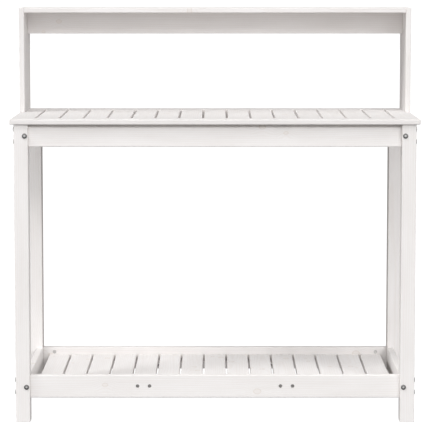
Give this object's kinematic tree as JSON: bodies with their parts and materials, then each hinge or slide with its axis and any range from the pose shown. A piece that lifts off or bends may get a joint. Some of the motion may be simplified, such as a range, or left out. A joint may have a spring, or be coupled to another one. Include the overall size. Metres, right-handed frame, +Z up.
{
  "type": "potting bench",
  "caption": "White painted wooden potting bench with a slatted worktop, a raised rear shelf and a slatted lower tray shelf.",
  "frame": {"origin": "on the floor, under the centre of the bench's outline", "axes": "+Z up, +Y from the front to the back, +X to the right of a person at the front"},
  "size_m": [1.08, 0.5, 1.095],
  "materials": {
    "painted_pine": "solid pine with a thin matt white stain that lets a little grain show",
    "cleat_wood": "rough sawn pine with a thin matt white stain, out of sight under the slats",
    "dowel_wood": "bare beech",
    "zinc_steel": "zinc plated, satin",
    "screw_steel": "dark zinc plated"
  },
  "bodies": {
    "root": {"apron_front": "painted_pine", "apron_left": "painted_pine", "apron_rear": "painted_pine", "apron_right": "painted_pine", "barrel_nuts": "zinc_steel", "cleat_screws": "screw_steel", "furniture_bolts": "zinc_steel", "hood_back_rail": "painted_pine", "hood_screws": "screw_steel", "hood_side_left": "painted_pine", "hood_side_right": "painted_pine", "hood_top": "painted_pine", "leg_front_left": "painted_pine", "leg_front_right": "painted_pine", "leg_rear_left": "painted_pine", "leg_rear_right": "painted_pine", "low_rail_front": "painted_pine", "low_rail_left": "painted_pine", "low_rail_rear": "painted_pine", "low_rail_right": "painted_pine", "shelf_bearer_front": "cleat_wood", "shelf_bearer_rear": "cleat_wood", "shelf_slat_01": "painted_pine", "shelf_slat_02": "painted_pine", "shelf_slat_03": "painted_pine", "shelf_slat_04": "painted_pine", "shelf_slat_05": "painted_pine", "shelf_slat_06": "painted_pine", "shelf_slat_07": "painted_pine", "shelf_slat_08": "painted_pine", "shelf_slat_09": "painted_pine", "shelf_slat_10": "painted_pine", "shelf_slat_11": "painted_pine", "shelf_slat_12": "painted_pine", "shelf_slat_13": "painted_pine", "shelf_slat_14": "painted_pine", "shelf_slat_15": "painted_pine", "tie_screws": "screw_steel", "worktop_board_front": "painted_pine", "worktop_board_rear": "painted_pine", "worktop_cleat_front": "cleat_wood", "worktop_cleat_rear": "cleat_wood", "worktop_dowels": "dowel_wood", "worktop_slat_01": "painted_pine", "worktop_slat_02": "painted_pine", "worktop_slat_03": "painted_pine", "worktop_slat_04": "painted_pine", "worktop_slat_05": "painted_pine", "worktop_slat_06": "painted_pine", "worktop_slat_07": "painted_pine", "worktop_slat_08": "painted_pine", "worktop_slat_09": "painted_pine", "worktop_slat_10": "painted_pine", "worktop_slat_11": "painted_pine", "worktop_slat_12": "painted_pine", "worktop_slat_13": "painted_pine", "worktop_slat_14": "painted_pine", "worktop_slat_15": "painted_pine", "worktop_slat_16": "painted_pine", "worktop_slat_17": "painted_pine"}
  },
  "joints": []
}
